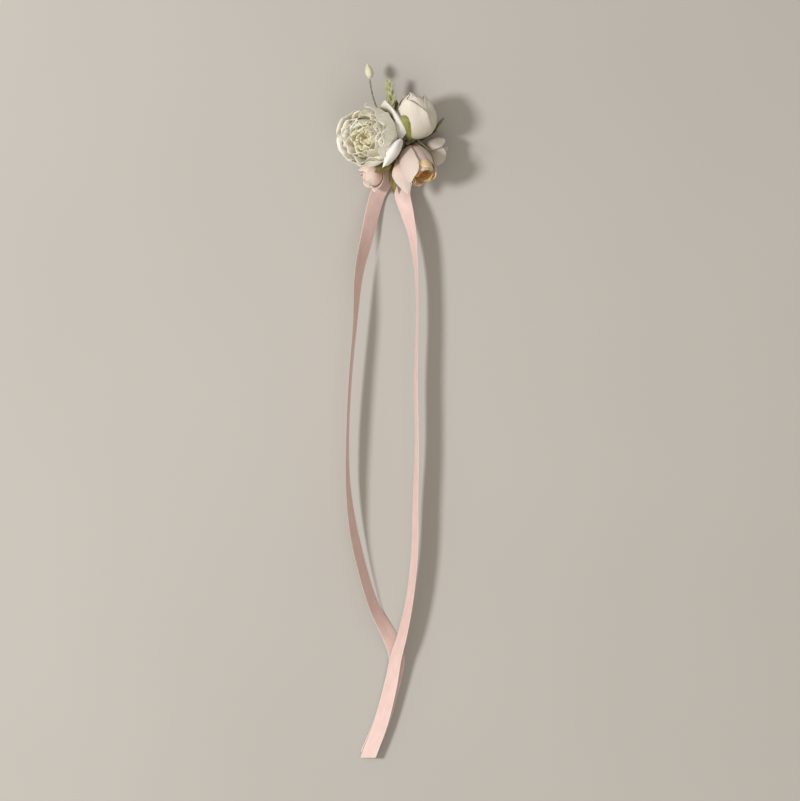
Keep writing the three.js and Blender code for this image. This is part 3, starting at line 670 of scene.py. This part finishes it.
LEFT_RIBBON = [
    (-6.175, 3, FELT_LIFT, 0), (-6.175, -8, FELT_LIFT, 0), (-6.8, -13, FELT_LIFT - 0.1, 0),
    (-10, -21.5, 3, 4), (-14.8, -32, 1.6, 20), (-20.6, -56, 4.6, 38), (-25.6, -80, 7.4, 58),
    (-27.9, -110, 7.6, 75), (-30.9, -145, 7.4, 79), (-32.5, -178, 6.6, 80), (-32.1, -212, 5.4, 73),
    (-27.4, -246, 3.6, 57), (-17, -284, 1.2, 50), (-6.4, -305, 0, 24), (-2, -319, 0, 6), (-5.2, -336, 0, 3),
    (-11.4, -358, 0, 3), (-19.6, -377.6, 0, 3),
]
RIGHT_RIBBON = [
    (4.175, 3, FELT_LIFT, 0), (4.175, -8, FELT_LIFT, 0), (4.5, -14.5, FELT_LIFT, 0), (2.6, -22, 7.8, -5),
    (1.6, -30, 7.4, -12), (4.4, -41, 7, -36), (7.7, -55.6, 7, -60), (10.2, -80, 7.2, -79),
    (10.6, -110, 7.6, -82), (9.8, -145, 7.6, -78), (10.4, -185, 7, -76), (9.6, -220, 6.2, -70),
    (9, -252, 5.4, -66), (6.2, -280, 4.4, -62), (1.6, -303, 3.6, -54), (-2.6, -318, 2.6, -44),
    (-6, -336, 1.6, -36), (-11.6, -358, 1.2, -30), (-20, -380.6, 1.2, -26),
]


def make_ribbon(name, stations, slant, cup, material):
    """A strip of satin over stations (x, y, height of its lowest edge, roll in degrees), like the CAD one."""
    rows, columns = 340, 9
    line = smooth_line(stations, rows * 4)
    gone = np.concatenate([[0], np.cumsum(np.linalg.norm(np.diff(line[:, :2], axis=0), axis=1))])
    even = np.linspace(0, gone[-1], rows)
    line = np.stack([np.interp(even, gone, line[:, k]) for k in range(4)], axis=1)
    roll = np.radians(line[:, 3])
    centre = line[:, :3].copy()
    centre[:, 2] = np.maximum(line[:, 2], 0) + RIBBON_WIDTH / 2 * np.abs(np.sin(roll)) + 0.25
    along = np.gradient(centre, axis=0)
    along /= np.linalg.norm(along, axis=1)[:, None]
    level = np.cross(along, [0.0, 0.0, 1.0])
    level /= np.linalg.norm(level, axis=1)[:, None]
    rise = np.cross(level, along)
    side = level * np.cos(roll)[:, None] + rise * np.sin(roll)[:, None]
    normal = np.cross(side, along)
    u = np.linspace(-1, 1, columns)
    bend = cup * (1 - u**2)[None, :] * np.sin(even / 23)[:, None]
    patch = centre[:, None, :] + (u * RIBBON_WIDTH / 2)[None, :, None] * side[:, None, :]
    patch = patch + bend[..., None] * normal[:, None, :]
    ends = np.clip((even - (gone[-1] - 8)) / 8, 0, 1) ** 2
    patch = patch + (ends[:, None] * slant * u[None, :])[..., None] * along[:, None, :]
    obj = grid_object(f"{name}_satin", [patch * MM], material, SATIN_THICKNESS)
    for item in obj.data.uv_layers["weave"].data:
        item.uv[1] *= gone[-1] / RIBBON_WIDTH
    place(obj, "satin_ribbon", name)


# ---------------------------------------------------------------- clip, pad and glue
def make_felt(material):
    low, high = (Vector(c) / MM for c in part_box("felt_pad"))
    centre, radius = (low + high) / 2, (high.x - low.x) / 2
    profile = [(0.01, low.z), (radius - 0.5, low.z), (radius, low.z + 0.35), (radius, high.z - 0.35),
               (radius - 0.5, high.z), (0.01, high.z)]
    line = smooth_line([(r, 0, z) for r, z in profile], 40)
    angle = np.linspace(0, 2 * math.pi, 61)
    rough = 1 + 0.012 * np.sin(7 * angle) + 0.008 * np.sin(19 * angle + 1)
    out = line[:, 0][:, None] * rough[None, :]
    patch = np.stack([centre.x + out * np.cos(angle), centre.y + out * np.sin(angle),
                      np.repeat(line[:, 2][:, None], 61, 1)], axis=-1)
    pad = grid_object("felt_pad_disc", [patch * MM], material, 0)
    place(pad, "felt", "felt_pad")


def dress_cad(names, material):
    for name in names:
        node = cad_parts[name]
        node.data.materials.clear()
        node.data.materials.append(material)


# ---------------------------------------------------------------- surroundings
def make_floor():
    n = Nodes("floor_paint", 0.85)
    n.shader.inputs["Specular IOR Level"].default_value = 0.1
    cloud = n.noise(n.coordinates("Object"), 3.0, 2.0)
    colour = n.ramp(cloud, [(0.3, srgb(177, 173, 166)), (0.7, srgb(181, 177, 170))])
    material = n.finish(colour)
    size = 8.0
    mesh = bpy.data.meshes.new("floor")
    corners = [(-size, -size, 0), (size, -size, 0), (size, size, 0), (-size, size, 0)]
    mesh.from_pydata(corners, [], [(0, 1, 2, 3)])
    mesh.materials.append(material)
    floor = bpy.data.objects.new("floor", mesh)
    bpy.context.scene.collection.objects.link(floor)


def make_light(name, location, size, power, colour):
    data = bpy.data.lights.new(name, "AREA")
    data.shape = "DISK"
    data.size = size
    data.energy = power
    data.color = colour
    light = bpy.data.objects.new(name, data)
    light.location = location
    aim = Vector((0, CAMERA_Y, 0)) - Vector(location)
    light.rotation_euler = aim.to_track_quat("-Z", "Y").to_euler()
    bpy.context.scene.collection.objects.link(light)


def make_surroundings():
    make_floor()
    make_light("key", (-1.5, CAMERA_Y + 0.1, 1.65), 0.42, 40, (0.985, 0.985, 1.0))
    make_light("fill", (0.6, -1.9, 2.6), 2.4, 17, (1.0, 0.96, 0.9))
    world = bpy.data.worlds.new("studio")
    world.use_nodes = True
    world.node_tree.nodes["Background"].inputs["Color"].default_value = (1.0, 0.94, 0.86, 1)
    world.node_tree.nodes["Background"].inputs["Strength"].default_value = 0.5
    bpy.context.scene.world = world
    bpy.context.scene.view_settings.view_transform = "Standard"


def make_paint():
    petals = {  # the colour at a petal's base, middle and rim, and how much light its fabric lets in
        "white": ((248, 238, 208), (250, 245, 225), (252, 248, 236), 0.5),
        # The curled and guard petals: the white fabric painted greyer, with painted shade at their bases
        # under a white rim.
        "white_guard_painted_shade": ((192, 189, 168), (214, 211, 203), (230, 228, 224), 0.25),
        "cream": ((248, 232, 186), (250, 241, 208), (252, 247, 224), 0.5),
        # The white bud's fabric painted tan-grey and darker at its petal bases: painted shade.
        "bud": ((178, 168, 134), (200, 192, 178), (220, 212, 199), 0.25),
        "blush": ((196, 140, 128), (200, 180, 170), (214, 199, 188), 0.25),
        "blush_rib": ((178, 128, 92), (212, 194, 184), (220, 207, 197), 0.25),
        "ochre_rim": ((206, 150, 120), (222, 184, 146), (240, 216, 164), 0.25),
        "ochre_inner": ((190, 118, 48), (222, 160, 84), (242, 206, 140), 0.25),
        "ochre": ((170, 96, 30), (208, 132, 52), (226, 162, 84), 0.25),
        # The pale flower's off-white fabric painted grey-brown: painted shade over the whole flower.
        "pale": ((172, 160, 145), (186, 176, 165), (198, 189, 179), 0.25),
        "small": ((222, 148, 138), (224, 196, 184), (230, 214, 202), 0.25),
    }
    paint = {name: petal_material(f"petal_{name}", srgb(*base), srgb(*middle), srgb(*rim), subsurface)
             for name, (base, middle, rim, subsurface) in petals.items()}
    paint.update({
        "sepal": leaf_material("sepal_green", srgb(74, 74, 38), srgb(122, 122, 62), srgb(94, 74, 44)),
        "sepal_olive": leaf_material("sepal_olive", srgb(104, 106, 40), srgb(158, 156, 78), srgb(92, 74, 40)),
        "leaf": leaf_material("leaf_olive", srgb(96, 88, 42), srgb(146, 132, 70), srgb(104, 76, 42)),
        "sprig": leaf_material("sprig_green", srgb(146, 150, 84), srgb(206, 206, 170), srgb(220, 216, 190)),
        "filler": leaf_material("filler_green",
                                srgb(200, 196, 164), srgb(222, 218, 194), srgb(214, 208, 182)),
        "tape": tape_material("stem_tape", srgb(108, 108, 74), srgb(150, 148, 110)),
        "satin": satin_material(),
        "felt": felt_material(),
        "steel": steel_material(),
        "glue": glue_material(),
    })
    return paint


make_camera()
paint = make_paint()
make_white_rose(paint)
make_white_bud(paint)
make_blush_rose(paint)
make_side_flower("pale_flower", PALE_FLOWER, 8.7, 21, paint["pale"], "pale_petal", paint)
make_side_flower("small_flower", SMALL_FLOWER, 7.9, 33, paint["small"], "blush_petal", paint)
make_leaves(paint)
make_filler(paint)
make_sprig(paint)
make_ribbon("left_ribbon", LEFT_RIBBON, 1.5, 0.25, paint["satin"])
make_ribbon("right_ribbon", RIGHT_RIBBON, 2.0, 0.25, paint["satin"])
make_felt(paint["felt"])
dress_cad(["upper_jaw", "lower_jaw", "hinge_pin", "torsion_spring"], paint["steel"])
dress_cad(["glue_bed"], paint["glue"])
flowers = ("white_rose", "white_bud", "blush_rose", "pale_flower", "small_flower")
dress_cad([f"{flower}_stem" for flower in flowers], paint["tape"])
make_surroundings()
